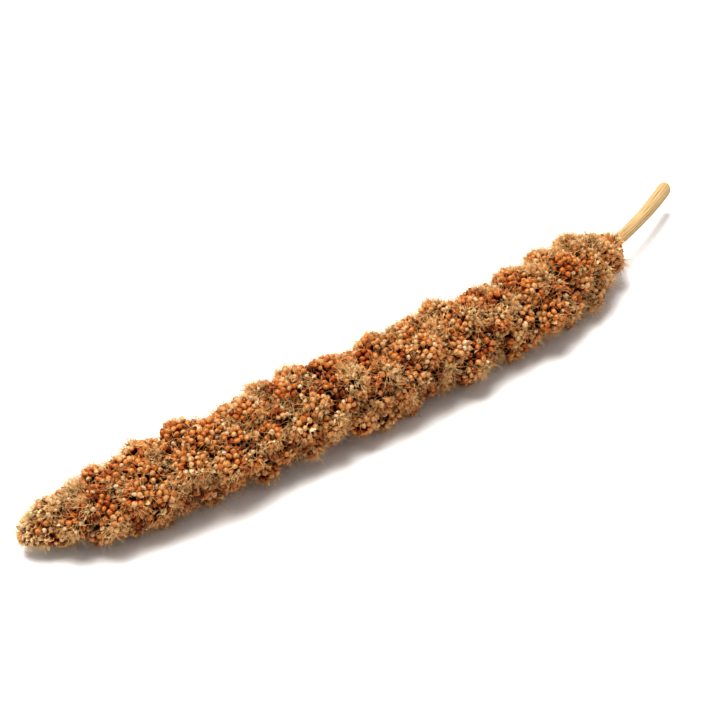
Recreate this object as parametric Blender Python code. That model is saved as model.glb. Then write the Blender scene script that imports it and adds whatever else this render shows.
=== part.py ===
"""Foxtail millet head: a dried spike of grain with a short cut stem, lying on its side.

The spike is a bent stalk set all round with short side branches. Each branch ends in a rounded lobe packed
with grains. The lobes stand round the stalk in a golden-angle spiral, lean towards the tip and get smaller
there. Grains cover every lobe, larger than life, as raised points on a triangular net.

Metres, +Z up. The spike lies along X with its tip at -X, on the plane z = 0, with the origin at the middle
of its footprint.
"""

import math

import bmesh
import bpy
import numpy as np

# Driving dimensions of the spike
HEAD_LENGTH = 0.195
HEAD_RADIUS = 0.0122
TIP_TAPER = 0.055
BASE_TAPER = 0.034
BASE_SHARPNESS = 0.7
NECK_RADIUS = 0.0034
SWELL = 0.03
SWELL_LENGTH = 0.085
NARROWING = 0.03

# How it lies: its bow seen from above, and the height of its middle line above the surface
BOW = math.radians(34)
SWAY = math.radians(5)
REST_HEIGHT = 0.0111
TIP_HEIGHT = 0.0055
DROOP_START = 0.130
BASE_DROOP = 0.0014

# Lobes: the rounded ends of the side branches
LOBE_PITCH = 0.0098
LOBE_WIDTH = 0.0050
LOBE_DEPTH = 0.0072
LOBE_LEAN = math.radians(34)
LOBE_SHARE_AT_ENDS = 0.48
SPACING_SHARE = 0.87
SIZE_SPREAD = 0.13
REACH_SPREAD = 0.0016
PLACE_SPREAD = 0.16
GOLDEN_ANGLE = math.pi * (3 - math.sqrt(5))
NOSE_RADIUS = 0.0030
FIRST_LOBE = 0.0050
LAST_LOBE = HEAD_LENGTH - 0.0024
CORE_SHARE = 0.60
SEED = 5

# The net that the grains are raised on
AROUND = 42
TIP_STEP = 0.0002
LEAST_STEP = 0.0011
GRAIN_RISE = 0.42
GRAIN_DIP = 0.20
GRAIN_SPREAD = 0.25
NET_SPREAD = 0.10
GRAIN_SEED = 11

# Stem
STEM_RADIUS = 0.0017
CUT_RADIUS = 0.0021
STEM_SHOWS = 0.034
STEM_INSIDE = 0.012
STEM_SIDES = 16
STEM_RINGS = 20
RIDGE = 0.00012
CUT_SLANT = math.radians(28)
CLEARANCE = 0.0003

GRAIN_COLOUR = (0.58, 0.27, 0.09)
STRAW_COLOUR = (0.62, 0.49, 0.26)

SPINE_STEPS = 600
SMOOTH_BELOW = math.radians(30)


def smooth_step(value):
    value = np.clip(value, 0, 1)
    return value * value * (3 - 2 * value)


class Spine:
    """The middle line of spike and stem. s is 0 at the tip and grows towards the cut end of the stem."""

    def __init__(self):
        self.s = np.linspace(0, HEAD_LENGTH + STEM_SHOWS + STEM_RADIUS, SPINE_STEPS)
        share = self.s / HEAD_LENGTH
        heading = BOW * (share - 0.5) + SWAY * np.sin(2 * math.pi * share)
        step = self.s[1] - self.s[0]
        x = np.cumsum(np.cos(heading)) * step
        y = np.cumsum(np.sin(heading)) * step
        tip = np.clip(1 - self.s / TIP_TAPER, 0, 1)
        droop = np.clip((self.s - DROOP_START) / (HEAD_LENGTH - DROOP_START), 0, None)
        z = REST_HEIGHT - (REST_HEIGHT - TIP_HEIGHT) * tip**2 - BASE_DROOP * droop**2
        self.points = np.stack([x, y, z], axis=1)
        self.tangents = np.gradient(self.points, self.s, axis=0)

    def at(self, s):
        """Point, and unit vectors towards the base, sideways and upwards, at each s."""
        point = np.stack([np.interp(s, self.s, p) for p in self.points.T], axis=-1)
        along = np.stack([np.interp(s, self.s, t) for t in self.tangents.T], axis=-1)
        along /= np.linalg.norm(along, axis=-1, keepdims=True)
        up = np.array([0.0, 0.0, 1.0]) - along * along[..., 2:]
        up /= np.linalg.norm(up, axis=-1, keepdims=True)
        return point, along, np.cross(up, along), up

    def rays(self, s, angles):
        """Points on the middle line at each s, and the outward direction at each angle round it."""
        point, _, side, up = self.at(s)
        return point, np.cos(angles)[:, None] * side + np.sin(angles)[:, None] * up


def outline(s):
    """Radius of the spike over its lobes at s: long and blunt at the tip, shorter at the base."""
    tip = np.sqrt(np.clip(1 - np.clip(1 - s / TIP_TAPER, 0, 1) ** 2, 0, 1))
    left = np.clip((HEAD_LENGTH - s) / BASE_TAPER, 0, 1)
    base = np.clip(1 - (1 - left) ** 2, 0, 1) ** BASE_SHARPNESS
    swell = 1 + SWELL * np.sin(2 * math.pi * s / SWELL_LENGTH) - NARROWING * s / HEAD_LENGTH
    return NECK_RADIUS * (1 - base) + HEAD_RADIUS * swell * tip * base


def lobes(spine):
    """Middle, axis, width and depth of every lobe, the one on the tip first."""
    draw = np.random.default_rng(SEED)
    point, along, _, _ = spine.at(NOSE_RADIUS)
    found = [(point, -along, NOSE_RADIUS, NOSE_RADIUS)]
    s = FIRST_LOBE
    turn = 0.0
    while s < LAST_LOBE:
        radius = float(outline(s))
        share = LOBE_SHARE_AT_ENDS + (1 - LOBE_SHARE_AT_ENDS) * radius / HEAD_RADIUS
        size = share * (1 + SIZE_SPREAD * draw.uniform(-1, 1))
        width = LOBE_WIDTH * size
        depth = LOBE_DEPTH * size
        pitch = LOBE_PITCH * share
        place = s + PLACE_SPREAD * pitch * draw.uniform(-1, 1)
        angle = turn + PLACE_SPREAD * pitch / radius * draw.uniform(-1, 1)
        reach = max(radius - depth + REACH_SPREAD * share * draw.uniform(-1, 1), 0.0)
        point, along, side, up = spine.at(place)
        outward = math.cos(angle) * side + math.sin(angle) * up
        axis = math.cos(LOBE_LEAN) * outward - math.sin(LOBE_LEAN) * along
        found.append((point + reach * outward, axis, width, depth))
        s += SPACING_SHARE * pitch**2 / (2 * math.pi * max(radius, LOBE_WIDTH / 2))
        turn += GOLDEN_ANGLE
    return [np.array(column) for column in zip(*found)]


def reach_of(origins, directions, lobe_set):
    """How far each ray goes before it leaves the last lobe that it meets. 0 where it meets none."""
    middle, axis, width, depth = lobe_set
    offset = origins[:, None] - middle
    flat = 1 / width**2
    deep = 1 / depth**2 - flat
    d_axis = directions @ axis.T
    o_axis = np.einsum("ijk,jk->ij", offset, axis)
    a = flat + deep * d_axis**2
    b = flat * np.einsum("ijk,ik->ij", offset, directions) + deep * d_axis * o_axis
    c = flat * np.sum(offset**2, axis=2) + deep * o_axis**2 - 1
    under_root = b * b - a * c
    far = (np.sqrt(np.clip(under_root, 0, None)) - b) / a
    return np.where(under_root > 0, far, 0).max(axis=1, initial=0)


def ring_places():
    """s of each ring. The steps follow the radius, and are small on the round tip."""
    step_share = 2 * math.pi / AROUND * math.sqrt(3) / 2
    places = [TIP_STEP]
    while places[-1] < HEAD_LENGTH:
        s = places[-1]
        least = min(TIP_STEP + s / 2, LEAST_STEP)
        places.append(s + max(step_share * float(outline(s)), least))
    return [s * HEAD_LENGTH / places[-1] for s in places]


def head_rings(spine):
    """Points of every ring from the tip to the neck, each ring turned half a step past the one before it."""
    draw = np.random.default_rng(GRAIN_SEED)
    lobe_set = lobes(spine)
    spacing = 2 * math.pi / AROUND
    rings = []
    for row, s in enumerate(ring_places()):
        covered = float(smooth_step((HEAD_LENGTH - s) / NECK_RADIUS))
        loose = NET_SPREAD * covered * smooth_step(s / NOSE_RADIUS)
        angles = spacing * (np.arange(AROUND) + row / 2 + loose * draw.uniform(-1, 1, AROUND))
        places = s + loose * spacing * outline(s) * draw.uniform(-1, 1, AROUND)
        middle, outward = spine.rays(places, angles)
        radius = np.maximum(reach_of(middle, outward, lobe_set), CORE_SHARE * outline(places))
        peak = (np.arange(AROUND) - row) % 3 == 0
        rise = np.where(peak, GRAIN_RISE, -GRAIN_DIP) * (1 + GRAIN_SPREAD * draw.uniform(-1, 1, AROUND))
        radius = radius * (1 + covered * spacing * rise)
        radius = np.maximum(radius, NECK_RADIUS * smooth_step(s / NECK_RADIUS))
        drop = np.maximum(-outward[:, 2], 1e-9)
        radius = np.minimum(radius, middle[:, 2] / drop)
        rings.append(middle + radius[:, None] * outward)
    return rings


def skin(name, rings, start, end):
    """A closed mesh over rings with equal numbers of points. Each end is a point, or flat where it is None."""
    bm = bmesh.new()
    rows = [[bm.verts.new(point) for point in ring] for ring in rings]
    count = len(rows[0])
    for first, second in zip(rows, rows[1:]):
        for j in range(count):
            after = (j + 1) % count
            bm.faces.new((first[j], second[j], first[after]))
            bm.faces.new((first[after], second[j], second[after]))
    for row, point in ((rows[0], start), (rows[-1], end)):
        if point is None:
            bm.faces.new(row)
            continue
        pole = bm.verts.new(point)
        for j in range(count):
            bm.faces.new((row[j], row[(j + 1) % count], pole))
    bmesh.ops.recalc_face_normals(bm, faces=bm.faces)
    mesh = bpy.data.meshes.new(name)
    bm.to_mesh(mesh)
    bm.free()
    mesh.shade_smooth()
    mesh.set_sharp_from_angle(angle=SMOOTH_BELOW)
    obj = bpy.data.objects.new(name, mesh)
    bpy.context.scene.collection.objects.link(obj)
    return obj


def grain_head(spine):
    """The spike with its lobes and grains, and the plain hole in its base that the stem stands in."""
    rings = head_rings(spine)
    angles = 2 * math.pi / AROUND * (np.arange(AROUND) + len(rings) / 2)
    hole = STEM_RADIUS + RIDGE + CLEARANCE
    for s in (HEAD_LENGTH, HEAD_LENGTH - STEM_INSIDE - CLEARANCE):
        middle, outward = spine.rays(s, angles)
        rings.append(middle + hole * outward)
    tip, _, _, _ = spine.at(0.0)
    return skin("grain_head", rings, tip, None)


def stem(spine):
    """The ridged stalk, from its hidden end in the spike to its slanting cut."""
    angles = 2 * math.pi / STEM_SIDES * np.arange(STEM_SIDES)
    ridges = RIDGE * np.where(np.arange(STEM_SIDES) % 2 == 0, 1, -1)
    rings = []
    for s in np.linspace(HEAD_LENGTH - STEM_INSIDE, HEAD_LENGTH + STEM_SHOWS, STEM_RINGS + 1):
        shown = smooth_step((s - HEAD_LENGTH) / STEM_SHOWS)
        radius = STEM_RADIUS + (CUT_RADIUS - STEM_RADIUS) * shown + ridges
        middle, outward = spine.rays(s, angles)
        rings.append(middle + radius[:, None] * outward)
    _, along, _, up = spine.at(HEAD_LENGTH + STEM_SHOWS)
    rings[-1] += np.outer((rings[-1] - middle) @ up * math.tan(CUT_SLANT), along)
    return skin("stem", rings, None, None)


def material(name, colour, roughness):
    made = bpy.data.materials.new(name)
    made.use_nodes = True
    shader = made.node_tree.nodes["Principled BSDF"]
    shader.inputs["Base Color"].default_value = (*colour, 1)
    shader.inputs["Roughness"].default_value = roughness
    return made


def main():
    for obj in list(bpy.data.objects):
        bpy.data.objects.remove(obj, do_unlink=True)
    spine = Spine()
    head = grain_head(spine)
    stalk = stem(spine)
    head.data.materials.append(material("grain", GRAIN_COLOUR, 0.55))
    stalk.data.materials.append(material("straw", STRAW_COLOUR, 0.6))
    corners = np.array([v.co for obj in (head, stalk) for v in obj.data.vertices])
    middle = (corners.min(axis=0) + corners.max(axis=0)) / 2
    for obj in (head, stalk):
        obj.location = (-middle[0], -middle[1], 0)


main()
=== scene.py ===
"""A dried foxtail millet head lying on its side on a pale surface.

It is made as it grows: the woolly stalk with its side branches, the grains that cover them, the papery husks
round the grains, the bristles between them, and the bare cut stem. Everything is in metres.
"""

import math

import bmesh
import bpy
import numpy as np
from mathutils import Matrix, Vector, kdtree, noise


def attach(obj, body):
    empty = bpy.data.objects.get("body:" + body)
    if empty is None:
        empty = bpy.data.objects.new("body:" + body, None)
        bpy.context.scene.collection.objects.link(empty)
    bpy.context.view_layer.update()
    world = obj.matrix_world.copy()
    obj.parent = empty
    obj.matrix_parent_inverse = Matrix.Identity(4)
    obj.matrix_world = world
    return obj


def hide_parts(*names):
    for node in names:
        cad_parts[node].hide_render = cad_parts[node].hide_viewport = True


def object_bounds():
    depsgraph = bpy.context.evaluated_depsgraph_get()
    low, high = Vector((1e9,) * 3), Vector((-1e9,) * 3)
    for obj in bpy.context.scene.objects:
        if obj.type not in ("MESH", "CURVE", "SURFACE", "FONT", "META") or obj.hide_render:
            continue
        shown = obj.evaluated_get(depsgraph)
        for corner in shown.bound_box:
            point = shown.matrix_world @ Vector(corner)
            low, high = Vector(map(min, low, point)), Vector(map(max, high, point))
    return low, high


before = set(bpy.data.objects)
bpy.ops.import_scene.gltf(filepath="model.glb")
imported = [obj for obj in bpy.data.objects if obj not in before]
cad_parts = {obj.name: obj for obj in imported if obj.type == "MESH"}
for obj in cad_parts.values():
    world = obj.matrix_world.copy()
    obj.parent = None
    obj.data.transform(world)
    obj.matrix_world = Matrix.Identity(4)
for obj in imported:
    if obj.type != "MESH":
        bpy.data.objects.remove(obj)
cad_low, cad_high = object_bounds()


# The stalk and its side branches. The stalk runs through the whole head and is dark and woolly. Short
# branches grow out of it all round in a spiral, and each one ends in a rounded lobe that carries the grains.
# Only the dark between the grains shows of them. Their near-black colour is partly their own brown wool and
# partly painted shade.
HEAD_LENGTH = 0.195
HEAD_RADIUS = 0.0122
TIP_TAPER = 0.055
BASE_TAPER = 0.034
BASE_SHARPNESS = 0.7
NECK_RADIUS = 0.0034
SWELL = 0.03
SWELL_LENGTH = 0.085
NARROWING = 0.03
STEM_SHOWS = 0.034

TIP_PLACE = (-0.11308, 0.00323)
BOW = math.radians(34)
SWAY = math.radians(5)
REST_HEIGHT = 0.0111
TIP_HEIGHT = 0.0055
DROOP_START = 0.130
BASE_DROOP = 0.0014
LINE_STEPS = 600
LINE_PAST_CUT = 0.0017

LOBE_PITCH = 0.0098
LOBE_WIDTH = 0.0050
LOBE_DEPTH = 0.0072
LOBE_LEAN = math.radians(34)
LOBE_SHARE_AT_ENDS = 0.48
PACKED_SHARE = 0.87
SIZE_SPREAD = 0.13
REACH_SPREAD = 0.0016
PLACE_SPREAD = 0.16
GOLDEN_ANGLE = math.pi * (3 - math.sqrt(5))
NOSE_RADIUS = 0.0030
FIRST_LOBE = 0.0050
LAST_LOBE = HEAD_LENGTH - 0.0024
LOBE_SEED = 5

BRANCH_SINK = 0.0021
BRANCH_LEAST_SHARE = 0.5
BRANCH_RINGS = 230
BRANCH_SIDES = 84
TIP_ROUNDING = 0.004
BASE_ROUNDING = 0.002
BRANCH_CLEARANCE = 0.0006
# The wool's colours are partly its own brown and partly painted shade: near black where it shows deep between
# the grains.
BRANCH_SHADE_DARK = (22, 4, 0)
BRANCH_SHADED_WOOL = (72, 26, 4)
TIP_DARK = (112, 64, 28)
TIP_WOOL = (178, 126, 74)
TIP_COLOUR_FROM = TIP_PLACE[0] + 0.006
TIP_COLOUR_TO = TIP_PLACE[0] + 0.020
DARK_LEVEL = 0.35
WOOL_LEVEL = 0.75
WOOL_SCALE = 1400
WOOL_RELIEF = 0.0003

TINY = 1e-9
SAME_PLACE = 1e-6
NO_LENGTH = 1e-7


def smooth_step(value):
    value = np.clip(value, 0, 1)
    return value * value * (3 - 2 * value)


def unit(vectors):
    return vectors / np.linalg.norm(vectors, axis=-1, keepdims=True)


def middle_line():
    """Distances from the tip, points and directions of the middle line of the head and its stem."""
    s = np.linspace(0, HEAD_LENGTH + STEM_SHOWS + LINE_PAST_CUT, LINE_STEPS)
    share = s / HEAD_LENGTH
    heading = BOW * (share - 0.5) + SWAY * np.sin(2 * math.pi * share)
    step = s[1] - s[0]
    x = TIP_PLACE[0] + (np.cumsum(np.cos(heading)) - math.cos(heading[0])) * step
    y = TIP_PLACE[1] + (np.cumsum(np.sin(heading)) - math.sin(heading[0])) * step
    tip = np.clip(1 - s / TIP_TAPER, 0, 1)
    droop = np.clip((s - DROOP_START) / (HEAD_LENGTH - DROOP_START), 0, None)
    z = REST_HEIGHT - (REST_HEIGHT - TIP_HEIGHT) * tip**2 - BASE_DROOP * droop**2
    points = np.stack([x, y, z], axis=1)
    return s, points, np.gradient(points, s, axis=0)


line_s, line_points, line_directions = middle_line()


def stalk_at(s):
    """Point, and unit vectors towards the base, sideways and upwards, at each distance s from the tip."""
    point = np.stack([np.interp(s, line_s, p) for p in line_points.T], axis=-1)
    along = unit(np.stack([np.interp(s, line_s, t) for t in line_directions.T], axis=-1))
    up = unit(np.array([0.0, 0.0, 1.0]) - along * along[..., 2:])
    return point, along, np.cross(up, along), up


def rays(s, angles):
    """Points on the middle line, and the outward direction at each angle round it."""
    point, _, side, up = stalk_at(s)
    return point, np.cos(angles)[:, None] * side + np.sin(angles)[:, None] * up


def outline(s):
    """Radius of the head over its lobes at s: long and blunt at the tip, shorter at the base."""
    tip = np.sqrt(np.clip(1 - np.clip(1 - s / TIP_TAPER, 0, 1) ** 2, 0, 1))
    left = np.clip((HEAD_LENGTH - s) / BASE_TAPER, 0, 1)
    base = np.clip(1 - (1 - left) ** 2, 0, 1) ** BASE_SHARPNESS
    swell = 1 + SWELL * np.sin(2 * math.pi * s / SWELL_LENGTH) - NARROWING * s / HEAD_LENGTH
    return NECK_RADIUS * (1 - base) + HEAD_RADIUS * swell * tip * base


def grow_lobes():
    """Middle, axis, width and depth of every lobe, the one on the tip first."""
    draw = np.random.default_rng(LOBE_SEED)
    point, along, _, _ = stalk_at(NOSE_RADIUS)
    found = [(point, -along, NOSE_RADIUS, NOSE_RADIUS)]
    s = FIRST_LOBE
    turn = 0.0
    while s < LAST_LOBE:
        radius = float(outline(s))
        share = LOBE_SHARE_AT_ENDS + (1 - LOBE_SHARE_AT_ENDS) * radius / HEAD_RADIUS
        size = share * (1 + SIZE_SPREAD * draw.uniform(-1, 1))
        width = LOBE_WIDTH * size
        depth = LOBE_DEPTH * size
        pitch = LOBE_PITCH * share
        place = s + PLACE_SPREAD * pitch * draw.uniform(-1, 1)
        angle = turn + PLACE_SPREAD * pitch / radius * draw.uniform(-1, 1)
        reach = max(radius - depth + REACH_SPREAD * share * draw.uniform(-1, 1), 0.0)
        point, along, side, up = stalk_at(place)
        outward = math.cos(angle) * side + math.sin(angle) * up
        axis = math.cos(LOBE_LEAN) * outward - math.sin(LOBE_LEAN) * along
        found.append((point + reach * outward, axis, width, depth))
        s += PACKED_SHARE * pitch**2 / (2 * math.pi * max(radius, LOBE_WIDTH / 2))
        turn += GOLDEN_ANGLE
    return [np.array(column) for column in zip(*found)]


lobe_middle, lobe_axis, lobe_width, lobe_depth = grow_lobes()


def reach_of(origins, directions):
    """How far each ray goes before it leaves the last lobe that it meets. 0 where it meets none."""
    offset = origins[:, None] - lobe_middle
    flat = 1 / lobe_width**2
    deep = 1 / lobe_depth**2 - flat
    d_axis = directions @ lobe_axis.T
    o_axis = np.einsum("ijk,jk->ij", offset, lobe_axis)
    a = flat + deep * d_axis**2
    b = flat * np.einsum("ijk,ik->ij", offset, directions) + deep * d_axis * o_axis
    c = flat * np.sum(offset**2, axis=2) + deep * o_axis**2 - 1
    under_root = b * b - a * c
    far = (np.sqrt(np.clip(under_root, 0, None)) - b) / a
    return np.where(under_root > 0, far, 0).max(axis=1, initial=0)


def display(colour):
    """A colour as seen on a screen, from 0 to 255, as the light values that a shader takes."""
    share = np.array(colour) / 255
    return (*np.where(share <= 0.04045, share / 12.92, ((share + 0.055) / 1.055) ** 2.4), 1)


def new_material(name, roughness, shine):
    material = bpy.data.materials.new(name)
    material.use_nodes = True
    tree = material.node_tree
    shader = tree.nodes["Principled BSDF"]
    shader.inputs["Roughness"].default_value = roughness
    shader.inputs["Specular IOR Level"].default_value = shine
    return material, tree, shader


def add_node(tree, kind, settings=(), **inputs):
    """A node with its settings, and its inputs set or linked.

    An input is given by its name with _ for each space, or by _ and its number.
    """
    made = tree.nodes.new(kind)
    for name, value in dict(settings).items():
        setattr(made, name, value)
    for name, value in inputs.items():
        socket = made.inputs[int(name[1:])] if name[1:].isdigit() else made.inputs[name.replace("_", " ")]
        if isinstance(value, bpy.types.NodeSocket):
            tree.links.new(value, socket)
        else:
            socket.default_value = value
    return made


def add_ramp(tree, factor, stops):
    """A ramp of display colours, with a stop for each (place, colour) pair."""
    ramp = add_node(tree, "ShaderNodeValToRGB", Fac=factor)
    elements = ramp.color_ramp.elements
    while len(elements) < len(stops):
        elements.new(0.5)
    for element, (place, colour) in zip(elements, stops):
        element.position = place
        element.color = display(colour)
    return ramp.outputs["Color"]


def fading(tree, value, start, end, course="LINEAR"):
    """1 where a value is under start, and 0 where it is past end."""
    faded = add_node(tree, "ShaderNodeMapRange", {"interpolation_type": course},
                     _0=value, _1=start, _2=end, _3=1.0, _4=0.0)
    return faded.outputs[0]


def mixed(tree, share, first, second, blend="MIX"):
    """Two colours, the second laid on the first by a share."""
    settings = {"data_type": "RGBA", "blend_type": blend}
    return add_node(tree, "ShaderNodeMix", settings, _0=share, _6=first, _7=second).outputs[2]


def add_finish(tree, shader, colour, pattern, relief, strength):
    """Gives a shader its colour, and the relief of a pattern."""
    tree.links.new(colour, shader.inputs["Base Color"])
    bump = add_node(tree, "ShaderNodeBump", Height=pattern, Distance=relief, Strength=strength)
    tree.links.new(bump.outputs["Normal"], shader.inputs["Normal"])


def add_piece(name, mesh, material, crisp=math.pi):
    """A finished mesh as a piece of the head, smooth but for edges sharper than crisp."""
    mesh.materials.append(material)
    mesh.shade_smooth()
    mesh.set_sharp_from_angle(angle=crisp)
    piece = bpy.data.objects.new(name, mesh)
    bpy.context.scene.collection.objects.link(piece)
    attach(piece, "root")
    return piece


def wrapped_grid(rings, sides):
    """A mapped grid to roll into a tube, with the share along and the angle round it of each corner."""
    bm = bmesh.new()
    bm.loops.layers.uv.new("OFBake")
    bmesh.ops.create_grid(bm, x_segments=rings, y_segments=sides, size=0.5, calc_uvs=True)
    corners = np.array([v.co for v in bm.verts])
    return bm, corners[:, 0] + 0.5, 2 * math.pi * (corners[:, 1] + 0.5)


def close_tube(bm, points):
    """Puts a rolled grid's corners in place, and joins its long edges and any end that comes to a point."""
    for vert, point in zip(bm.verts, points):
        vert.co = point
    bmesh.ops.remove_doubles(bm, verts=bm.verts, dist=SAME_PLACE)
    bmesh.ops.dissolve_degenerate(bm, edges=bm.edges, dist=NO_LENGTH)
    bmesh.ops.recalc_face_normals(bm, faces=bm.faces)


def mesh_of(bm, name):
    mesh = bpy.data.meshes.new(name)
    bm.to_mesh(mesh)
    bm.free()
    return mesh


def branch_mesh():
    """The outline of all the lobes, sunk under the grains, as one skin that comes to a point at both ends."""
    bm, share, angles = wrapped_grid(BRANCH_RINGS, BRANCH_SIDES)
    s = HEAD_LENGTH * share
    middle, outward = rays(s, angles)
    radius = np.maximum(reach_of(middle, outward) - BRANCH_SINK, BRANCH_LEAST_SHARE * outline(s))
    radius *= smooth_step(s / TIP_ROUNDING) * smooth_step((HEAD_LENGTH - s) / BASE_ROUNDING)
    room_below = (middle[:, 2] - BRANCH_CLEARANCE) / np.maximum(-outward[:, 2], TINY)
    close_tube(bm, middle + np.minimum(radius, room_below)[:, None] * outward)
    return mesh_of(bm, "branches")


def shaded_wool_material():
    """Brown wool, coloured near black as painted shade where it shows between the grains, and paler at the
    tip of the head.
    """
    material, tree, shader = new_material("wool", roughness=0.9, shine=0.05)
    place = add_node(tree, "ShaderNodeTexCoord").outputs["Object"]
    wool = add_node(tree, "ShaderNodeTexNoise", Vector=place, Scale=WOOL_SCALE, Detail=4, Roughness=0.65)
    tufts = wool.outputs["Fac"]
    colour = add_ramp(tree, tufts, [(DARK_LEVEL, BRANCH_SHADE_DARK), (WOOL_LEVEL, BRANCH_SHADED_WOOL)])
    tip_colour = add_ramp(tree, tufts, [(DARK_LEVEL, TIP_DARK), (WOOL_LEVEL, TIP_WOOL)])
    lengthwise = add_node(tree, "ShaderNodeSeparateXYZ", Vector=place).outputs["X"]
    near_tip = fading(tree, lengthwise, TIP_COLOUR_FROM, TIP_COLOUR_TO, "SMOOTHSTEP")
    add_finish(tree, shader, mixed(tree, near_tip, colour, tip_colour), tufts, WOOL_RELIEF, strength=0.8)
    return material


add_piece("branches", branch_mesh(), shaded_wool_material())


# The grains. Each is a hard, waxy, round-bellied seed about 2 mm across with a blunt point. It grows on a
# lobe with that point outwards, close beside its neighbours. Most are burnt orange, and tan and cream ones
# stand among them in patches.
GRAIN_SPACING = 0.00180
GRAIN_CLEAR = 0.00134
GRAIN_JITTER = 0.07 * GRAIN_SPACING
CROWDED = 0.92
GROOVE = 0.72
CHAFF_CLEAR = 0.0013
GAP_CLEAR = 0.00145
GAP_START = 0.001
GAP_TRIES = 14000
HIDDEN_BELOW = 0.0020
LINE_STRIDE = 2
NEARLY_UPRIGHT = 0.9
GRAIN_SEED = 23

GRAIN_WIDTH = 0.00098
GRAIN_DEPTH = 0.86
GRAIN_TAPER = 0.20
DEPTH_TAPER = 0.18
GRAIN_POINT = 0.22
GRAIN_SIDES = 10
GRAIN_RINGS = 5
WIDTH_SPREAD = 0.12
TIP_SMALLER = 0.12
UNFILLED_WIDTH = 0.80
GRAIN_STRETCH = (0.92, 1.10)
GRAIN_SINK = 0.00045
SINK_SPREAD = 0.00020
FROM_LOBE = 0.85
FROM_STALK = 0.3
TOWARDS_TIP = 0.16
AXIS_SPREAD = 0.14
BOX_SLACK = 0.027
SURFACE_CLEARANCE = 0.00003

# The grains are made in three pieces. Each has its name, and where it starts and ends along the head.
STRETCHES = [("grains_tip", 0, 0.068), ("grains_middle", 0.068, 0.130), ("grains_base", 0.130, 0.200)]

PATCH = 0.013
HUSK_PATCH = 0.006
HUSK_PATCH_SHIFT = 7.3
PATCH_STRENGTH = 1.6
PATCH_EDGE = 2
PALE_TIP_LENGTH = 0.020
CREASE_START = 0.95
CREASE_FADE = 0.25
EMPTY_SHARE = 0.03
EMPTY_AT_TIP = 0.40
EMPTY_IN_PATCH = 0.38
UNFILLED_SHARE = 0.06
UNFILLED_AT_TIP = 0.60
UNFILLED_IN_PATCH = 0.52
UNFILLED_TONES = (0.74, 1.0)
GRAIN_TONE = 0.47
GRAIN_TONE_SPREAD = 0.16
TONE_BY_PATCH = 0.22
TONE_BY_TIP = 0.24
# Grains down in the creases between lobes are darkened: painted shade.
PAINTED_CREASE_SHADE = -0.40

TONES = 48
AROUND_ON_MAP = (0.03, 0.97)
WHITE = (255, 255, 255)
SEAM = (170, 116, 76)
GRAIN_COLOURS = [
    (0.00, (128, 56, 16)),
    (0.18, (174, 94, 32)),
    (0.32, (204, 124, 58)),
    (0.48, (217, 150, 86)),
    (0.65, (221, 173, 119)),
    (0.82, (227, 190, 142)),
    (1.00, (242, 222, 184)),
]
# Along each grain: painted shade at its root and up its sides, where it sits down among its neighbours, a
# cool tint over its outer end as painted highlight, and a darker blunt point.
GRAIN_ROOT_SHADE_AND_END_HIGHLIGHT = [
    (0.00, (40, 6, 0)),
    (0.38, (136, 54, 8)),
    (0.53, (196, 140, 84)),
    (0.70, (234, 240, 250)),
    (0.95, (226, 242, 255)),
    (1.00, (150, 100, 60)),
]
GRAIN_MARKS = [(0.32, (216, 190, 164)), (0.58, WHITE)]
GRAIN_SEAMS = [(0.29, WHITE), (0.32, SEAM), (0.35, WHITE), (0.65, WHITE), (0.68, SEAM), (0.71, WHITE)]


def lobe_rows(draw):
    """Points in even spiral rows over every lobe, with the outward direction there and the lobe's number."""
    points, normals, owners = [], [], []
    for index, (middle, axis, width, depth) in enumerate(zip(lobe_middle, lobe_axis, lobe_width, lobe_depth)):
        # This comes close to the area of an ellipsoid of that width and depth.
        area = 4 * math.pi * width * (width + 2 * depth) / 3
        count = int(area / (PACKED_SHARE * GRAIN_SPACING**2))
        steps = np.arange(count) + 0.5
        height = 1 - 2 * steps / count
        turn = GOLDEN_ANGLE * steps + draw.uniform(0, 2 * math.pi)
        flat = np.sqrt(1 - height**2)
        guide = (0.0, 0.0, 1.0) if abs(axis[2]) < NEARLY_UPRIGHT else (1.0, 0.0, 0.0)
        side = unit(np.cross(axis, guide))
        ball = np.stack([flat * np.cos(turn), flat * np.sin(turn), height], axis=1)
        basis = np.stack([side, np.cross(axis, side), axis])
        points.append(middle + ball * (width, width, depth) @ basis)
        normals.append(unit(ball / (width, width, depth)) @ basis)
        owners.append(np.full(count, index))
    points = np.concatenate(points)
    points += draw.normal(0, GRAIN_JITTER, points.shape)
    return points, np.concatenate(normals), np.concatenate(owners)


def share_of_neighbours(points, owners):
    """How far out each point lies in the nearest other lobe: under 1 is inside it."""
    offset = points[:, None] - lobe_middle
    along = np.einsum("ijk,jk->ij", offset, lobe_axis)
    share = (np.sum(offset**2, axis=2) - along**2) / lobe_width**2 + along**2 / lobe_depth**2
    share[np.arange(len(points)), owners] = np.inf
    return np.sqrt(share.min(axis=1))


def seen_from_outside(points):
    """Distance from the tip, direction from the stalk, and whether each point is near the head's surface."""
    coarse_line = line_points[::LINE_STRIDE]
    nearest = np.argmin(((points[:, None] - coarse_line) ** 2).sum(axis=2), axis=1) * LINE_STRIDE
    offset = points - line_points[nearest]
    radius = np.linalg.norm(offset, axis=1)
    outward = offset / radius[:, None]
    s = line_s[nearest]
    seen = (radius > reach_of(line_points[nearest], outward) - HIDDEN_BELOW) & (s < HEAD_LENGTH)
    return s, outward, seen


def tree_of(points):
    """A tree that finds the nearest of many points."""
    tree = kdtree.KDTree(len(points))
    for index, point in enumerate(points):
        tree.insert(point, index)
    tree.balance()
    return tree


def thinned(points, clear, draw):
    """Which points to keep, so that no two are nearer than clear."""
    tree = tree_of(points)
    kept = np.zeros(len(points), bool)
    for index in draw.permutation(len(points)):
        near = tree.find_range(points[index], clear)
        kept[index] = not any(kept[other] for _, other, _ in near)
    return kept


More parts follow.
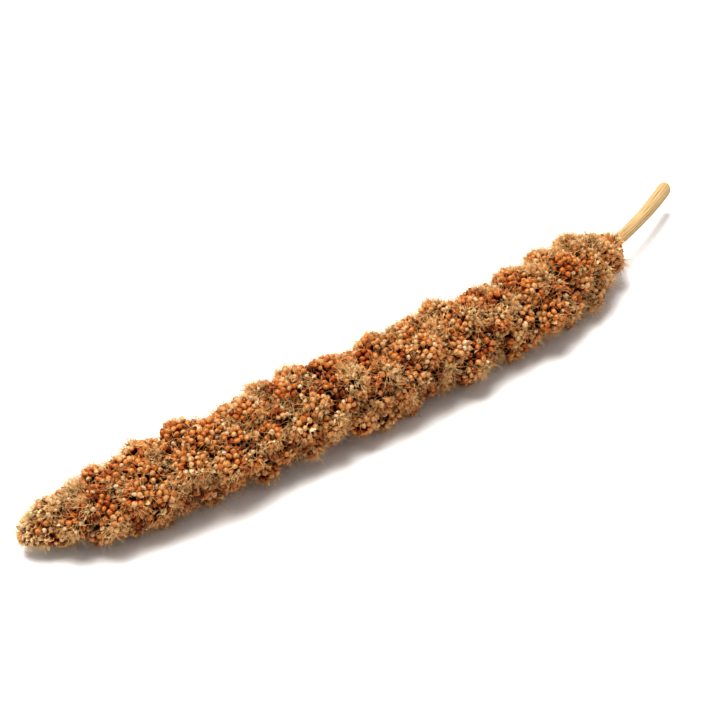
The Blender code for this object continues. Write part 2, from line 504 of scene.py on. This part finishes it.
def gap_places(taken, draw):
    """Places on the outline of the lobes where no taken point is near, each as in spikelet_places."""
    s = draw.uniform(GAP_START, LAST_LOBE, GAP_TRIES)
    middle, outward = rays(s, draw.uniform(0, 2 * math.pi, GAP_TRIES))
    points = middle + reach_of(middle, outward)[:, None] * outward
    tree = tree_of(taken)
    free = np.flatnonzero([tree.find(point)[2] > GAP_CLEAR for point in points])
    free = free[thinned(points[free], GAP_CLEAR, draw)]
    return points[free], outward[free], s[free], outward[free], np.full(len(free), CROWDED)


def spikelet_places():
    """The places on the lobes for spikelets, and those down in the grooves between lobes for loose chaff.

    Each of the two has points, outward directions from their lobes, distances from the tip, directions from
    the stalk, and how far out of the next lobe the points lie.
    """
    draw = np.random.default_rng(GRAIN_SEED)
    points, normals, owners = lobe_rows(draw)
    s, outward, seen = seen_from_outside(points)
    share = share_of_neighbours(points, owners)
    on_lobes = seen & (share > CROWDED)
    in_grooves = seen & (share < CROWDED) & (share > GROOVE)
    places = []
    for here, clear in ((on_lobes, GRAIN_CLEAR), (in_grooves, CHAFF_CLEAR)):
        chosen = np.flatnonzero(here)
        chosen = chosen[thinned(points[chosen], clear, draw)]
        places.append((points[chosen], normals[chosen], s[chosen], outward[chosen], share[chosen]))
    in_gaps = gap_places(places[0][0], draw)
    places[0] = [np.concatenate(pair) for pair in zip(places[0], in_gaps)]
    return places


def patches(points, size, shift):
    """A soft noise from about -1 to 1 that changes over the given size."""
    soft = [noise.noise(Vector(point) / size + Vector((shift, 0, 0))) for point in points]
    return np.array(soft) * PATCH_STRENGTH


def in_husk_patch(wider):
    """How far each spikelet stands in a patch of husks, from 0 to 1."""
    return smooth_step(PATCH_EDGE * husk_patch + wider)


def turned_to(axis, draw):
    """Rotations whose third column is the axis, turned round it at random."""
    guide = unit(np.cross(axis, draw.normal(size=axis.shape)))
    return np.stack([guide, np.cross(axis, guide), axis], axis=2)


def form_of(bm, along):
    """A small closed shape as its corners, its triangles and their map, which runs round it and along it."""
    bmesh.ops.triangulate(bm, faces=bm.faces)
    bm.verts.index_update()
    points = np.array([v.co for v in bm.verts])
    triangles = np.array([[v.index for v in f.verts] for f in bm.faces])
    bm.free()
    around = np.arctan2(points[:, 1], points[:, 0]) / (2 * math.pi) + 0.5
    corner_around = around[triangles]
    over_seam = np.ptp(corner_around, axis=1) > 0.5
    corner_around[over_seam] += corner_around[over_seam] < 0.5
    corner_map = np.stack([np.clip(corner_around, *AROUND_ON_MAP), along(points)[triangles]], axis=2)
    return points, triangles, corner_map


def placed(form, turns, scales, roots):
    """The corners of a copy of the form at each root, scaled along its own three axes and then turned."""
    return np.einsum("kij,kj,vj->kvi", turns, scales, form[0]) + roots[:, None]


def head_box():
    """Two corners of the box that every copy stays in: a little over the head's own, and above its floor."""
    low = np.array(cad_low)
    high = np.array(cad_high)
    slack = BOX_SLACK * (high - low)
    return (low - slack) * (1, 1, 0) + (0, 0, SURFACE_CLEARANCE), high + slack


def scatter(name, points, form, tones):
    """One mesh of many copies of a form, with their corners in place.

    A copy that would pass the head's box is pushed back into it. The map is cut into strips, one for each
    tone, and every copy lies in the strip of its own tone.
    """
    _, triangles, corner_map = form
    count, corners, _ = points.shape
    low, high = head_box()
    pushed = np.maximum(low - points.min(axis=1), 0) - np.maximum(points.max(axis=1) - high, 0)
    points = points + pushed[:, None]
    faces = triangles + corners * np.arange(count)[:, None, None]
    mesh = bpy.data.meshes.new(name)
    mesh.from_pydata(points.reshape(-1, 3).tolist(), [], faces.reshape(-1, 3).tolist())
    strips = np.minimum(np.floor(np.clip(tones, 0, 1) * TONES), TONES - 1)
    flat_map = np.empty((count, *corner_map.shape))
    flat_map[..., 0] = (strips[:, None, None] + corner_map[..., 0]) / TONES
    flat_map[..., 1] = corner_map[..., 1]
    mesh.uv_layers.new(name="OFBake").uv.foreach_set("vector", flat_map.astype(np.float32).ravel())
    return mesh


def grain_form():
    """A ball of radius 1, flattened a little from side to side and drawn out to a blunt point at its top."""
    bm = bmesh.new()
    bmesh.ops.create_uvsphere(bm, u_segments=GRAIN_SIDES, v_segments=GRAIN_RINGS, radius=1)
    for vert in bm.verts:
        x, y, z = vert.co
        point = max(z, 0) ** 2
        vert.co = (
            x * (1 - GRAIN_TAPER * point),
            y * (GRAIN_DEPTH - DEPTH_TAPER * point),
            z * (1.0 + GRAIN_POINT * point),
        )
    return form_of(bm, lambda points: (points[:, 2] + 1) / (2 + GRAIN_POINT))


def strip_tone(tree):
    """The tone of the copy, its place on the map, and the shares along it and round it."""
    where = add_node(tree, "ShaderNodeUVMap", {"uv_map": "OFBake"}).outputs["UV"]
    split = add_node(tree, "ShaderNodeSeparateXYZ", Vector=where)
    strips = add_node(tree, "ShaderNodeMath", {"operation": "MULTIPLY"}, _0=split.outputs["X"], _1=TONES)
    strip = add_node(tree, "ShaderNodeMath", {"operation": "FLOOR"}, _0=strips.outputs[0])
    tone = add_node(tree, "ShaderNodeMath", {"operation": "DIVIDE"}, _0=strip.outputs[0], _1=TONES)
    around = add_node(tree, "ShaderNodeMath", {"operation": "FRACT"}, _0=strips.outputs[0])
    return tone.outputs[0], where, split.outputs["Y"], around.outputs[0]


def strip_material(name, roughness, shine, colours, lengthwise, marks, mark_scale, relief, seams=None):
    """A material coloured by the copy's tone, with painted shade and highlight along it and fine marks."""
    material, tree, shader = new_material(name, roughness, shine)
    tone, where, along, around = strip_tone(tree)
    drawn = add_node(tree, "ShaderNodeMapping", Vector=where, Scale=mark_scale)
    fine = add_node(tree, "ShaderNodeTexNoise", Vector=drawn.outputs[0], Scale=1, Detail=2).outputs["Fac"]
    colour = add_ramp(tree, tone, colours)
    # The lengthwise ramp carries painted shade at the root, and for the grains a painted highlight tint at
    # the outer end.
    shades = [add_ramp(tree, along, lengthwise), add_ramp(tree, fine, marks)]
    if seams:
        shades.insert(1, add_ramp(tree, around, seams))
    for shade in shades:
        colour = mixed(tree, 1.0, colour, shade, "MULTIPLY")
    add_finish(tree, shader, colour, fine, relief, strength=0.7)
    return material


(spot_points, spot_normals, spot_s, spot_outward, spot_open), chaff_places = spikelet_places()
grain_draw = np.random.default_rng(GRAIN_SEED + 1)
spot_count = len(spot_points)
pale_patch = patches(spot_points, PATCH, 0)
husk_patch = patches(spot_points, HUSK_PATCH, HUSK_PATCH_SHIFT)
tip_share = smooth_step(1 - spot_s / PALE_TIP_LENGTH)
crease = 1 - smooth_step((spot_open - CREASE_START) / CREASE_FADE)

chance = grain_draw.uniform(0, 1, spot_count)
empty = chance - EMPTY_AT_TIP * tip_share - EMPTY_IN_PATCH * in_husk_patch(wider=-0.15) < EMPTY_SHARE
unfilled_share = (
    UNFILLED_SHARE + UNFILLED_IN_PATCH * in_husk_patch(wider=-0.1) + UNFILLED_AT_TIP * tip_share
)
unfilled = ~empty & (grain_draw.uniform(0, 1, spot_count) < unfilled_share)
# Grains down in a crease are made darker here: painted shade.
spot_tone = (
    GRAIN_TONE + TONE_BY_PATCH * pale_patch + grain_draw.normal(0, GRAIN_TONE_SPREAD, spot_count)
    + TONE_BY_TIP * tip_share + PAINTED_CREASE_SHADE * crease
)
spot_tone[unfilled] = grain_draw.uniform(*UNFILLED_TONES, unfilled.sum())

spot_axis = unit(
    FROM_LOBE * spot_normals + FROM_STALK * spot_outward - TOWARDS_TIP * stalk_at(spot_s)[1]
    + grain_draw.normal(0, AXIS_SPREAD, spot_points.shape)
)
spot_size = GRAIN_WIDTH * (1 + grain_draw.uniform(-WIDTH_SPREAD, WIDTH_SPREAD, spot_count))
spot_size *= 1 - TIP_SMALLER * tip_share
spot_size[unfilled] *= UNFILLED_WIDTH
spot_turn = turned_to(spot_axis, grain_draw)
spot_sink = GRAIN_SINK + grain_draw.uniform(-SINK_SPREAD, SINK_SPREAD, spot_count)
spot_base = spot_points - spot_axis * spot_sink[:, None]

grain_shape = grain_form()
grain_done = strip_material(
    "grain", roughness=0.38, shine=0.30, colours=GRAIN_COLOURS, lengthwise=GRAIN_ROOT_SHADE_AND_END_HIGHLIGHT,
    marks=GRAIN_MARKS, mark_scale=(6 * TONES, 9, 1), relief=0.00003, seams=GRAIN_SEAMS,
)
for stretch, start, end in STRETCHES:
    here = ~empty & (spot_s >= start) & (spot_s < end)
    grain_scale = spot_size[here, None] * grain_draw.uniform(*GRAIN_STRETCH, (here.sum(), 3))
    grown = placed(grain_shape, spot_turn[here], grain_scale, spot_base[here])
    grains = add_piece(stretch, scatter(stretch, grown, grain_shape, spot_tone[here]), grain_done)
    if stretch == "grains_tip":
        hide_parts("grain_head")


# The husks. Each grain grows in one to three thin papery scales that hug it, paler than the grain and with
# a point that turns out. Where a grain fell out or never filled, they stand open as an empty cup. Scales
# that came off lie as chaff in the grooves between the lobes.
HUSK_THICKNESS = 0.05
LEAF_EDGE = 0.1
LEAF_MERGE = 1e-4
RIM_ANGLE = math.radians(65)
ALONG_ON_MAP = (0.02, 0.98)
PARTED_AT = 0.09
HUSK_COLOURS = [
    (0.00, (124, 62, 24)),
    (0.30, (204, 155, 100)),
    (0.60, (228, 205, 160)),
    (1.00, (234, 216, 182)),
]
# Each husk is darkened towards its root, down between the grains: painted shade.
HUSK_ROOT_SHADE = [(0.0, (56, 14, 0)), (0.35, (194, 138, 80)), (0.65, WHITE)]
HUSK_MARKS = [(0.32, (230, 212, 184)), (0.55, WHITE)]

# How many scales hug a grain. They start and cover so many degrees from its root, and the rest are shares of
# its radius.
HUGS = (1, 2, 3)
HUG_SHARES = (0.42, 0.42, 0.16)
HUG_START = 30
HUG_COVERS = 82
HUG_HALF_WIDTH = math.radians(60)
HUG_WIDTHS = (0.75, 0.9, 1.45)
HUG_RADIUS = 1.06
HUG_FLARE = 0.20
HUG_LEAN = (0.0, 0.10)
HUG_SCALE = ((1.0, 0.75, 0.95), (1.12, 1.1, 1.25))

CUPS = 2
CUP_LEAN = (0.15, 0.25)
CUP_SCALE = ((0.8, 0.7, 1.0), (1.2, 1.1, 1.5))

# An open scale's shape, in shares of its length. Each arch is how far its sine runs, in radians.
OPENED = 3
OPEN_LENGTH = 0.0018
OPEN_HALF_WIDTH = 0.42
OPEN_HOLLOW = 0.24
OPEN_BOW = 0.16
WIDTH_ARCH = 2.85
HOLLOW_ARCH = 2.6
BOW_ARCH = 2.2
FULL_AT_ROOT = 0.8
OPEN_ROUND_END = 0.05
OPEN_LEAN = (0.1, 1.0)
OPEN_SCALE = ((0.7, 0.5, 0.7), (1.3, 1.0, 1.2))
OPEN_SINK = 0.0003
OPEN_APART = 0.0003

CHAFF_SPREAD = 0.45
CHAFF_SCALE = ((0.6, 0.5, 0.6), (1.2, 1.0, 1.1))
CHAFF_SINK = 0.0011
# Chaff down in the grooves is given a dark tone: painted shade.
CHAFF_SHADE_TONE = 0.05
CHAFF_TONE_SPREAD = 0.20


def leaf_form(place):
    """A thin closed leaf: a grid and its back, joined round the rim. place says where each corner goes."""
    bm = bmesh.new()
    bmesh.ops.create_grid(bm, x_segments=2, y_segments=3, size=1)
    copied = bmesh.ops.duplicate(bm, geom=bm.faces[:])["geom"]
    bmesh.ops.reverse_faces(bm, faces=[part for part in copied if isinstance(part, bmesh.types.BMFace)])
    back = {part for part in copied if isinstance(part, bmesh.types.BMVert)}
    for vert in bm.verts:
        across = vert.co.x
        up = (vert.co.y + 1) / 2
        inside = abs(across) < 1 - LEAF_EDGE and LEAF_EDGE < up < 1 - LEAF_EDGE
        vert.co = place(across, up, HUSK_THICKNESS if inside and vert in back else 0)
    bmesh.ops.remove_doubles(bm, verts=bm.verts, dist=LEAF_MERGE)
    bmesh.ops.dissolve_degenerate(bm, edges=bm.edges, dist=LEAF_MERGE)
    low = min(v.co.z for v in bm.verts)
    high = max(v.co.z for v in bm.verts)
    return form_of(bm, lambda points: np.clip((points[:, 2] - low) / (high - low), *ALONG_ON_MAP))


def hugging_leaf(across, up, inwards):
    """A scale that lies on a ball of radius 1, from near its bottom to a point flared over its shoulder."""
    polar = math.radians(HUG_START + HUG_COVERS * up)
    at_root, widening, closing = HUG_WIDTHS
    spread = HUG_HALF_WIDTH * across * (at_root + widening * up - closing * up**3)
    radius = HUG_RADIUS + HUG_FLARE * up**3 - inwards
    return (
        radius * math.sin(polar) * math.cos(spread),
        radius * math.sin(polar) * math.sin(spread),
        -radius * math.cos(polar),
    )


def open_leaf(across, up, inwards):
    """A cupped scale of length 1 along Z, with a blunt end. Its width, hollow and bow each follow an arch."""
    half_width = OPEN_HALF_WIDTH * math.sin(WIDTH_ARCH * up**FULL_AT_ROOT)
    hollow = OPEN_HOLLOW * (1 - across**2) * math.sin(HOLLOW_ARCH * up)
    bow = OPEN_BOW * math.sin(BOW_ARCH * up)
    return hollow + bow - inwards, across * half_width, up * (1 - OPEN_ROUND_END * across**2)


def leaning(turn, lean):
    """Tilts each rotation's third column towards its first by an angle."""
    third = np.cos(lean)[:, None] * turn[..., 2] + np.sin(lean)[:, None] * turn[..., 0]
    return np.stack([np.cross(turn[..., 1], third), turn[..., 1], third], axis=2)


def tone_at(spots, draw, level, spread, by_patch=0.0, by_tip=0.0, crease_shade=0.0):
    """A tone for a copy at each spot: a level, husk patch and tip, painted shade in a crease, and chance."""
    steady = level + by_patch * husk_patch[spots] + by_tip * tip_share[spots] + crease_shade * crease[spots]
    return steady + draw.normal(0, spread, len(spots))


def tip_and_base(name, spots):
    """The names of the two pieces that a large group is made in, and which copies go in each."""
    near_tip = spot_s[spots] < PARTED_AT
    return (name + "_tip", near_tip), (name + "_base", ~near_tip)


def add_husks(name, points, form, tones):
    add_piece(name, scatter(name, points, form, tones), husk_done, RIM_ANGLE)


husk_draw = np.random.default_rng(GRAIN_SEED + 2)
husk_done = strip_material(
    "husk", roughness=0.7, shine=0.12, colours=HUSK_COLOURS, lengthwise=HUSK_ROOT_SHADE,
    marks=HUSK_MARKS, mark_scale=(24 * TONES, 2, 1), relief=0.00002,
)

hug_shape = leaf_form(hugging_leaf)
full = np.flatnonzero(~empty)
owner = np.repeat(full, husk_draw.choice(HUGS, len(full), p=HUG_SHARES))
hug_turn = leaning(turned_to(spot_axis[owner], husk_draw), husk_draw.normal(*HUG_LEAN, len(owner)))
hug_scale = spot_size[owner, None] * husk_draw.uniform(*HUG_SCALE, (len(owner), 3))
hug_points = placed(hug_shape, hug_turn, hug_scale, spot_base[owner])
# Hugging husks down in a crease are darkened: painted shade.
hug_tone = tone_at(owner, husk_draw, level=0.56, spread=0.26, by_patch=0.30, by_tip=0.25, crease_shade=-0.45)
for part, here in tip_and_base("husks", owner):
    add_husks(part, hug_points[here], hug_shape, hug_tone[here])

owner = np.repeat(np.flatnonzero(empty), CUPS)
cup_turn = leaning(turned_to(spot_axis[owner], husk_draw), husk_draw.normal(*CUP_LEAN, len(owner)))
cup_scale = GRAIN_WIDTH * husk_draw.uniform(*CUP_SCALE, (len(owner), 3))
cup_points = placed(hug_shape, cup_turn, cup_scale, spot_base[owner])
# Cups down in a crease are darkened: painted shade.
cup_tone = tone_at(owner, husk_draw, level=0.94, spread=0.16, by_patch=0.14, crease_shade=-0.45)
add_husks("cups", cup_points, hug_shape, cup_tone)

open_shape = leaf_form(open_leaf)
owner = np.repeat(np.flatnonzero(empty), OPENED)
open_turn = leaning(turned_to(spot_axis[owner], husk_draw), husk_draw.uniform(*OPEN_LEAN, len(owner)))
open_scale = OPEN_LENGTH * husk_draw.uniform(*OPEN_SCALE, (len(owner), 3))
open_root = spot_base[owner] - OPEN_SINK * spot_axis[owner] + OPEN_APART * open_turn[..., 0]
open_points = placed(open_shape, open_turn, open_scale, open_root)
# Open husks down in a crease are darkened: painted shade.
open_tone = tone_at(owner, husk_draw, level=0.94, spread=0.20, by_patch=0.14, crease_shade=-0.45)
add_husks("open_husks", open_points, open_shape, open_tone)

chaff_points, _, _, chaff_outward, _ = chaff_places
chaff_axis = unit(chaff_outward + husk_draw.normal(0, CHAFF_SPREAD, chaff_points.shape))
chaff_scale = OPEN_LENGTH * husk_draw.uniform(*CHAFF_SCALE, chaff_points.shape)
chaff_turn = turned_to(chaff_axis, husk_draw)
chaff_grown = placed(open_shape, chaff_turn, chaff_scale, chaff_points - CHAFF_SINK * chaff_axis)
# The chaff's low tone is painted shade of the grooves.
chaff_shaded_tone = CHAFF_SHADE_TONE + husk_draw.normal(0, CHAFF_TONE_SPREAD, len(chaff_points))
add_husks("chaff", chaff_grown, open_shape, chaff_shaded_tone)


# The bristles. One or two stiff hairs grow under a grain and reach out past it, leaning towards the tip.
# Between them stands short pale fuzz, the fine curly hair of the husks. It is thickest in tufts where grains
# are missing.
BRISTLE_COUNT = 6500
BRISTLE_LENGTH = (0.0032, 0.0058)
BRISTLE_RADIUS = 0.000075
BRISTLE_SINK = 0.0012
BRISTLE_CURL = 0.8
FUZZ_COUNT = 17000
FUZZ_LENGTH = (0.0020, 0.0042)
FUZZ_RADIUS = 0.000058
FUZZ_SINK = 0.0004
FUZZ_CURL = 1.7

# A hair's curl is how far its end bends aside, as a share of its length.
HAIR_CUTS = 2
HAIR_FULLNESS = 0.6
HAIR_FROM_LOBE = 0.7
HAIR_FROM_STALK = 0.3
HAIR_LEAN = 0.45
HAIR_SPREAD = 0.36
HAIR_ASIDE = 0.0009
LEAST_BEND = 0.2
WAVE_SHARE = 0.35
HANGING_SHARE = 0.7
HANGING_FROM = 0.5
TIP_SHORTER = 0.30
HAIR_CREASE_FADE = 0.30
CREASE_HAIRS = 0.05
TIP_HAIRS = 1.2
BARE_HAIRS = 0.5
TUFT_HAIRS = 1.7
LEAST_TIP_HAIRS = 0.9
BRISTLE_COLOURS = [(0.0, (186, 118, 58)), (0.5, (230, 182, 124)), (1.0, (251, 235, 198))]
# Each hair is darkened towards its root, down between the grains: painted shade.
BRISTLE_ROOT_SHADE = [(0.0, (84, 26, 2)), (0.32, (255, 248, 238))]
BRISTLE_MARKS = [(0.35, (214, 196, 172)), (0.6, WHITE)]


def hair_form():
    """A slim three-sided spike from 0 to 1 along Z, cut across so that it can bend."""
    bm = bmesh.new()
    bmesh.ops.create_cone(bm, cap_ends=True, segments=3, radius1=1, radius2=0, depth=1)
    bmesh.ops.translate(bm, vec=(0, 0, 0.5), verts=bm.verts)
    for cut in range(1, HAIR_CUTS + 1):
        whole = bm.verts[:] + bm.edges[:] + bm.faces[:]
        bmesh.ops.bisect_plane(bm, geom=whole, plane_co=(0, 0, cut / (HAIR_CUTS + 1)), plane_no=(0, 0, 1))
    return form_of(bm, lambda points: np.clip(points[:, 2], *ALONG_ON_MAP))


def hair_chances():
    """How likely a hair is to grow at each spikelet: seldom in creases, often in patches and at the tip."""
    crown = smooth_step((spot_open - CREASE_START) / HAIR_CREASE_FADE) + CREASE_HAIRS
    crown *= 1 + TIP_HAIRS * tip_share
    crown *= np.maximum(BARE_HAIRS + TUFT_HAIRS * in_husk_patch(wider=0.1), LEAST_TIP_HAIRS * tip_share)
    return crown / crown.sum()


def kept_in_box(root, tip):
    """How much of each hair's run along X, Y and Z stays inside the head's box: it is pressed flat there."""
    low, high = head_box()
    run = tip - root
    over = np.where(run > 0, (high - root) / np.maximum(run, TINY), 1)
    under = np.where(run < 0, (root - low) / np.maximum(-run, TINY), 1)
    return np.clip(np.minimum(over, under), 0, 1)


def across_at_random(direction, draw):
    """A vector across each direction, turned round it at random."""
    return np.cross(direction, unit(draw.normal(size=direction.shape)))


def grow_hairs(count, length_range, radius, sink, curl, draw):
    """Corners of many bent and wavy hairs that start near spikelets, and the spikelet of each.

    Hairs that point down are shorter, and one that would reach the surface lies just over it.
    """
    near = draw.choice(spot_count, count, p=hair_share)
    direction = unit(
        HAIR_FROM_LOBE * spot_normals[near] + HAIR_FROM_STALK * spot_outward[near]
        - HAIR_LEAN * stalk_at(spot_s[near])[1] + draw.normal(0, HAIR_SPREAD, (count, 3))
    )
    bend = across_at_random(direction, draw) * draw.uniform(LEAST_BEND * curl, curl, (count, 1))
    wave = across_at_random(direction, draw) * draw.uniform(0, WAVE_SHARE * curl, (count, 1))
    aside = HAIR_ASIDE * across_at_random(spot_normals[near], draw)
    root = spot_points[near] + aside - sink * spot_normals[near]
    length = draw.uniform(*length_range, (count, 1))
    length *= 1 - (1 - HANGING_SHARE) * smooth_step(-direction[:, 2:] / HANGING_FROM)
    length *= 1 - TIP_SHORTER * tip_share[near, None]
    pressed = kept_in_box(root, root + length * (direction + bend))
    rise = hair_shape[0][:, 2:]
    run = rise * direction[:, None] + rise**2 * bend[:, None] + np.sin(math.pi * rise) * wave[:, None]
    centre = root[:, None] + (length * pressed)[:, None] * run
    centre[..., 2] = np.maximum(centre[..., 2], 2 * radius)
    slim = radius * hair_shape[0][:, :2] / (1 - HAIR_FULLNESS * rise)
    return centre + np.einsum("kij,vj->kvi", turned_to(direction, draw)[..., :2], slim), near


def add_hairs(name, points, tones):
    add_piece(name, scatter(name, points, hair_shape, tones), bristle_done)


bristle_draw = np.random.default_rng(GRAIN_SEED + 3)
bristle_done = strip_material(
    "bristle", roughness=0.6, shine=0.15, colours=BRISTLE_COLOURS, lengthwise=BRISTLE_ROOT_SHADE,
    marks=BRISTLE_MARKS, mark_scale=(2 * TONES, 5, 1), relief=0.00001,
)
hair_shape = hair_form()
hair_share = hair_chances()

bristle_points, near = grow_hairs(BRISTLE_COUNT, BRISTLE_LENGTH, BRISTLE_RADIUS, BRISTLE_SINK, BRISTLE_CURL,
                                  bristle_draw)
add_hairs("bristles", bristle_points,
          tone_at(near, bristle_draw, level=0.48, spread=0.22, by_patch=0.20, by_tip=0.30))

fuzz_points, near = grow_hairs(FUZZ_COUNT, FUZZ_LENGTH, FUZZ_RADIUS, FUZZ_SINK, FUZZ_CURL, bristle_draw)
fuzz_tone = tone_at(near, bristle_draw, level=0.70, spread=0.20, by_patch=0.18, by_tip=0.30)
for part, here in tip_and_base("fuzz", near):
    add_hairs(part, fuzz_points[here], fuzz_tone[here])


# The stem. It is the bare straw that carried the head, finely ridged along its length, and was cut off on a
# slant. The cut shows a hard rind round paler pith.
STEM_RADIUS = 0.0017
CUT_RADIUS = 0.0021
STEM_INSIDE = 0.012
RIDGE = 0.00006
RIDGE_COUNT = 20
CUT_SLANT = math.radians(28)
SLANT_SHARPNESS = 8
STEM_RINGS = 70
STEM_SIDES = 80
END_STEPS = ((0.18, 0.0), (0.10, 0.00018), (0.45, 0.00012))
CUT_EDGE = math.radians(55)
STRAW_COLOURS = [(0.30, (142, 112, 74)), (0.50, (178, 150, 108)), (0.72, (202, 180, 142))]
PITH_COLOURS = [(0.35, (186, 158, 116)), (0.70, (226, 208, 172))]
SKIN_ON_MAP = 0.8
CUT_ON_MAP = (0.25, 0.91, 0)
ROOT_ON_MAP = (0.75, 0.91, 0)
END_ON_MAP = 0.08
PITH_FULL = 0.80 * END_ON_MAP
PITH_EDGE = 0.88 * END_ON_MAP
FIBRE_SCALE = (4, 60 / SKIN_ON_MAP, 1)
FIBRE_RELIEF = 0.00006
PITH_CELL_SCALE = 150


def stem_end(bm, rim, centre, along):
    """Closes an end of the stem with rings that step in to its middle, over the flat rind to sunken pith."""
    faces = []
    for share, depth in END_STEPS:
        grown = bmesh.ops.extrude_edge_only(bm, edges=rim)["geom"]
        for vert in [part for part in grown if isinstance(part, bmesh.types.BMVert)]:
            vert.co += share * (Vector(centre) - vert.co) - depth * Vector(along)
        rim = [part for part in grown if isinstance(part, bmesh.types.BMEdge) and part.is_boundary]
        faces += [part for part in grown if isinstance(part, bmesh.types.BMFace)]
    lid = bmesh.ops.holes_fill(bm, edges=rim, sides=0)["faces"]
    return faces + bmesh.ops.poke(bm, faces=lid)["faces"]


def stem_mesh():
    """A ridged tube along the middle line, cut on a slant. Its skin and its ends lie apart on the map."""
    bm, share, angles = wrapped_grid(STEM_RINGS, STEM_SIDES)
    s = HEAD_LENGTH - STEM_INSIDE + (STEM_INSIDE + STEM_SHOWS) * share
    shown = smooth_step((s - HEAD_LENGTH) / STEM_SHOWS)
    radius = STEM_RADIUS + (CUT_RADIUS - STEM_RADIUS) * shown + RIDGE * np.cos(RIDGE_COUNT * angles)
    middle, outward = rays(s, angles)
    points = middle + radius[:, None] * outward
    _, along, side, up = stalk_at(HEAD_LENGTH + STEM_SHOWS)
    slant = np.clip((s - HEAD_LENGTH) / STEM_SHOWS, 0, 1) ** SLANT_SHARPNESS
    points += (slant * ((points - middle) @ up) * math.tan(CUT_SLANT))[:, None] * along
    close_tube(bm, points)
    uv = bm.loops.layers.uv["OFBake"]
    for face in bm.faces:
        for loop in face.loops:
            loop[uv].uv.y *= SKIN_ON_MAP
    rims = [e for e in bm.edges if e.is_boundary]
    for place, centre in ((ROOT_ON_MAP, middle[0]), (CUT_ON_MAP, middle[-1])):
        rim = [e for e in rims if np.linalg.norm(np.array(e.verts[0].co) - centre) < 2 * CUT_RADIUS]
        for face in stem_end(bm, rim, centre, along):
            for loop in face.loops:
                offset = (np.array(loop.vert.co) - centre) / CUT_RADIUS
                u = place[0] + END_ON_MAP * float(offset @ side)
                v = place[1] + END_ON_MAP * float(offset @ up)
                loop[uv].uv = (u, v)
    bmesh.ops.recalc_face_normals(bm, faces=bm.faces)
    return mesh_of(bm, "stem")


def straw_material():
    """Straw with fibres along it, and pale cells where the cut shows the pith."""
    material, tree, shader = new_material("straw", roughness=0.5, shine=0.3)
    where = add_node(tree, "ShaderNodeUVMap", {"uv_map": "OFBake"}).outputs["UV"]
    drawn = add_node(tree, "ShaderNodeMapping", Vector=where, Scale=FIBRE_SCALE)
    fibres = add_node(tree, "ShaderNodeTexNoise", Vector=drawn.outputs[0], Scale=1, Detail=3).outputs["Fac"]
    cells = add_node(tree, "ShaderNodeTexNoise", Vector=where, Scale=PITH_CELL_SCALE, Detail=3).outputs["Fac"]
    away = add_node(tree, "ShaderNodeVectorMath", {"operation": "DISTANCE"}, _0=where, _1=CUT_ON_MAP)
    in_pith = fading(tree, away.outputs["Value"], PITH_FULL, PITH_EDGE)
    skin = add_ramp(tree, fibres, STRAW_COLOURS)
    pith = add_ramp(tree, cells, PITH_COLOURS)
    add_finish(tree, shader, mixed(tree, in_pith, skin, pith), fibres, FIBRE_RELIEF, strength=0.6)
    return material


straw_stem = add_piece("straw_stem", stem_mesh(), straw_material(), CUT_EDGE)
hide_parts("stem")


# The setting: a white surface under one large soft light, overhead and a little to the left, and a camera
# that looks down on the head from the side of its tip.
SURFACE_SIZE = 3
SURFACE_WHITE = (0.9, 0.9, 0.9, 1)
CAMERA_AZIMUTH = math.radians(324)
CAMERA_HEIGHT = math.radians(40)
CAMERA_DISTANCE = 0.56
CAMERA_ASIDE = 0.012
CAMERA_LENS = 108
NEAREST_SEEN = 0.01
LIGHT_RIGHT = -0.30
LIGHT_AHEAD = 0.10
LIGHT_UP = 1.2
LIGHT_DISTANCE = 1.1
LIGHT_SIZE = 0.75
LIGHT_POWER = 17.4
LIGHT_COLOUR = (1.0, 0.985, 0.96)
WORLD_STRENGTH = 0.43


def surface_material():
    material, _, shader = new_material("surface", roughness=0.7, shine=0.2)
    shader.inputs["Base Color"].default_value = SURFACE_WHITE
    return material


bm = bmesh.new()
bmesh.ops.create_grid(bm, x_segments=1, y_segments=1, size=SURFACE_SIZE)
surface = bpy.data.objects.new("surface", mesh_of(bm, "surface"))
surface.data.materials.append(surface_material())
bpy.context.scene.collection.objects.link(surface)

middle = (Vector(cad_low) + Vector(cad_high)) / 2
forward = Vector((
    -math.sin(CAMERA_AZIMUTH) * math.cos(CAMERA_HEIGHT),
    math.cos(CAMERA_AZIMUTH) * math.cos(CAMERA_HEIGHT),
    -math.sin(CAMERA_HEIGHT),
))
right = Vector((math.cos(CAMERA_AZIMUTH), math.sin(CAMERA_AZIMUTH), 0))
camera = bpy.data.objects.new("camera", bpy.data.cameras.new("camera"))
camera.data.lens = CAMERA_LENS
camera.data.clip_start = NEAREST_SEEN
camera.location = middle - forward * CAMERA_DISTANCE - CAMERA_ASIDE * right
camera.rotation_euler = forward.to_track_quat("-Z", "Y").to_euler()
bpy.context.scene.collection.objects.link(camera)
bpy.context.scene.camera = camera

ahead = Vector((forward.x, forward.y, 0)).normalized()
to_light = LIGHT_RIGHT * right + LIGHT_AHEAD * ahead + LIGHT_UP * Vector((0, 0, 1))
lamp = bpy.data.lights.new("key", "AREA")
lamp.shape = "DISK"
lamp.size = LIGHT_SIZE
lamp.energy = LIGHT_POWER
lamp.color = LIGHT_COLOUR
key = bpy.data.objects.new("key", lamp)
key.location = middle + to_light.normalized() * LIGHT_DISTANCE
key.rotation_euler = (-to_light).to_track_quat("-Z", "Y").to_euler()
bpy.context.scene.collection.objects.link(key)

world = bpy.data.worlds.new("world")
world.use_nodes = True
world.node_tree.nodes["Background"].inputs["Color"].default_value = (1, 1, 1, 1)
world.node_tree.nodes["Background"].inputs["Strength"].default_value = WORLD_STRENGTH
bpy.context.scene.world = world
bpy.context.scene.view_settings.view_transform = "Standard"
bpy.context.scene.view_settings.look = "High Contrast"
